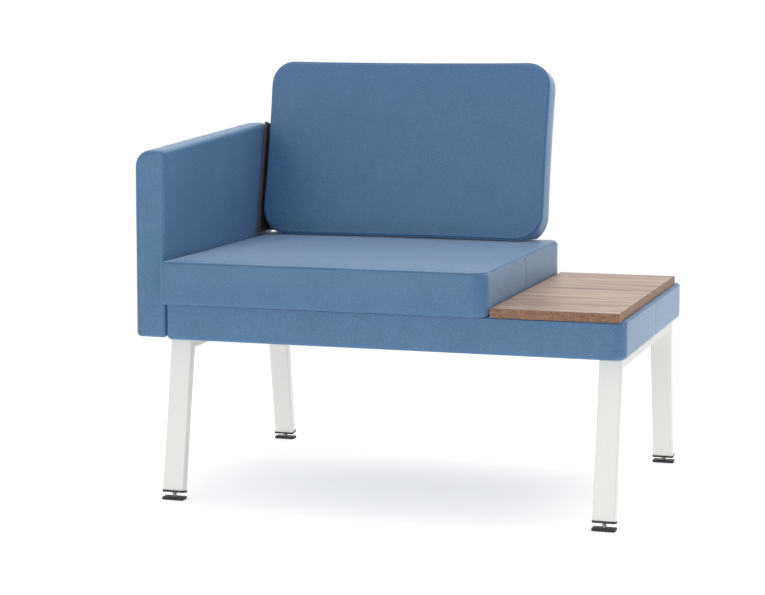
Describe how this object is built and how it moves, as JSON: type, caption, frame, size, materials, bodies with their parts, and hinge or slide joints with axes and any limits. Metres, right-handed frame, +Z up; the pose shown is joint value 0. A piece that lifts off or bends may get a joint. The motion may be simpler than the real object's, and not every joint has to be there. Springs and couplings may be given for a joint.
{
  "type": "waiting bench",
  "caption": "Upholstered waiting bench module: seat, leaning back cushion, end armrest and wood side table on a low platform with splayed tube legs and levelling feet.",
  "frame": {"origin": "on the floor under the middle of the overall box", "axes": "+X to the right as seen from the front, along the bench; +Y to the back; +Z up"},
  "size_m": [0.91, 0.64, 0.7923],
  "materials": {
    "blue_fabric": "woven wool-blend upholstery, matt with a pale nap",
    "foam": "cut polyurethane foam",
    "plywood": "sanded birch plywood",
    "timber": "planed pine",
    "wood_decor": "wood-grain decor laminate, satin",
    "white_steel": "white powder coat",
    "dark_steel": "brown grey powder coat, dull",
    "zinc_steel": "zinc plated",
    "black_plastic": "moulded, satin",
    "black_rubber": "moulded",
    "dust_cloth": "black spunbonded cloth"
  },
  "bodies": {
    "bench": {"arm_bolts": "zinc_steel", "arm_core_board": "plywood", "arm_cover": "blue_fabric", "arm_foam": "foam", "arm_inserts": "zinc_steel", "back_board": "plywood", "back_bracket_left": "dark_steel", "back_bracket_right": "dark_steel", "back_corner_angle": "dark_steel", "back_cover": "blue_fabric", "back_foam": "foam", "back_zip": "black_plastic", "base_cover": "blue_fabric", "base_cross_rail": "timber", "base_deck": "plywood", "base_dust_cover": "dust_cloth", "base_front_rail": "timber", "base_left_rail": "timber", "base_rear_rail": "timber", "base_right_rail": "timber", "bracket_inserts": "zinc_steel", "bracket_screws": "zinc_steel", "corner_angle_screws": "zinc_steel", "foot_nuts": "zinc_steel", "left_frame_tabs": "white_steel", "left_front_end_cap": "black_plastic", "left_front_leg": "white_steel", "left_rear_end_cap": "black_plastic", "left_rear_leg": "white_steel", "left_top_rail": "white_steel", "leg_bolts": "zinc_steel", "leg_inserts": "zinc_steel", "right_frame_tabs": "white_steel", "right_front_end_cap": "black_plastic", "right_front_leg": "white_steel", "right_rear_end_cap": "black_plastic", "right_rear_leg": "white_steel", "right_top_rail": "white_steel", "seat_board": "plywood", "seat_cover": "blue_fabric", "seat_foam": "foam", "seat_inserts": "zinc_steel", "seat_screws": "zinc_steel", "table_end_bands": "wood_decor", "table_panel": "wood_decor", "table_screws": "zinc_steel", "table_side_bands": "wood_decor"},
    "left_front_pad": {"left_front_foot_pad": "black_plastic", "left_front_foot_sole": "black_rubber"},
    "left_front_stem": {"left_front_foot_stem": "zinc_steel"},
    "left_rear_pad": {"left_rear_foot_pad": "black_plastic", "left_rear_foot_sole": "black_rubber"},
    "left_rear_stem": {"left_rear_foot_stem": "zinc_steel"},
    "right_front_pad": {"right_front_foot_pad": "black_plastic", "right_front_foot_sole": "black_rubber"},
    "right_front_stem": {"right_front_foot_stem": "zinc_steel"},
    "right_rear_pad": {"right_rear_foot_pad": "black_plastic", "right_rear_foot_sole": "black_rubber"},
    "right_rear_stem": {"right_rear_foot_stem": "zinc_steel"}
  },
  "joints": [
    {"name": "left_front_foot_travel", "type": "slide", "parent": "bench", "child": "left_front_pad", "axis": [0, -0.1719, -0.9851], "range_m": [-0.00125, 0.0125]},
    {"name": "left_front_foot_turn", "type": "hinge", "parent": "left_front_pad", "child": "left_front_stem", "pos_m": [-0.378, -0.29281, 0.002], "axis": [0, -0.1719, -0.9851], "range_deg": [-365, 3610]},
    {"name": "left_rear_foot_travel", "type": "slide", "parent": "bench", "child": "left_rear_pad", "axis": [0, 0.1719, -0.9851], "range_m": [-0.00125, 0.0125]},
    {"name": "left_rear_foot_turn", "type": "hinge", "parent": "left_rear_pad", "child": "left_rear_stem", "pos_m": [-0.378, 0.30181, 0.002], "axis": [0, 0.1719, -0.9851], "range_deg": [-365, 3610]},
    {"name": "right_front_foot_travel", "type": "slide", "parent": "bench", "child": "right_front_pad", "axis": [0, -0.1719, -0.9851], "range_m": [-0.00125, 0.0125]},
    {"name": "right_front_foot_turn", "type": "hinge", "parent": "right_front_pad", "child": "right_front_stem", "pos_m": [0.423, -0.29281, 0.002], "axis": [0, -0.1719, -0.9851], "range_deg": [-365, 3610]},
    {"name": "right_rear_foot_travel", "type": "slide", "parent": "bench", "child": "right_rear_pad", "axis": [0, 0.1719, -0.9851], "range_m": [-0.00125, 0.0125]},
    {"name": "right_rear_foot_turn", "type": "hinge", "parent": "right_rear_pad", "child": "right_rear_stem", "pos_m": [0.423, 0.30181, 0.002], "axis": [0, 0.1719, -0.9851], "range_deg": [-365, 3610]}
  ],
  "couplings": [
    {"joint": "left_front_foot_turn", "follows": "left_front_foot_travel", "rad_per_m": 5026.5},
    {"joint": "left_rear_foot_turn", "follows": "left_rear_foot_travel", "rad_per_m": 5026.5},
    {"joint": "right_front_foot_turn", "follows": "right_front_foot_travel", "rad_per_m": 5026.5},
    {"joint": "right_rear_foot_turn", "follows": "right_rear_foot_travel", "rad_per_m": 5026.5}
  ]
}
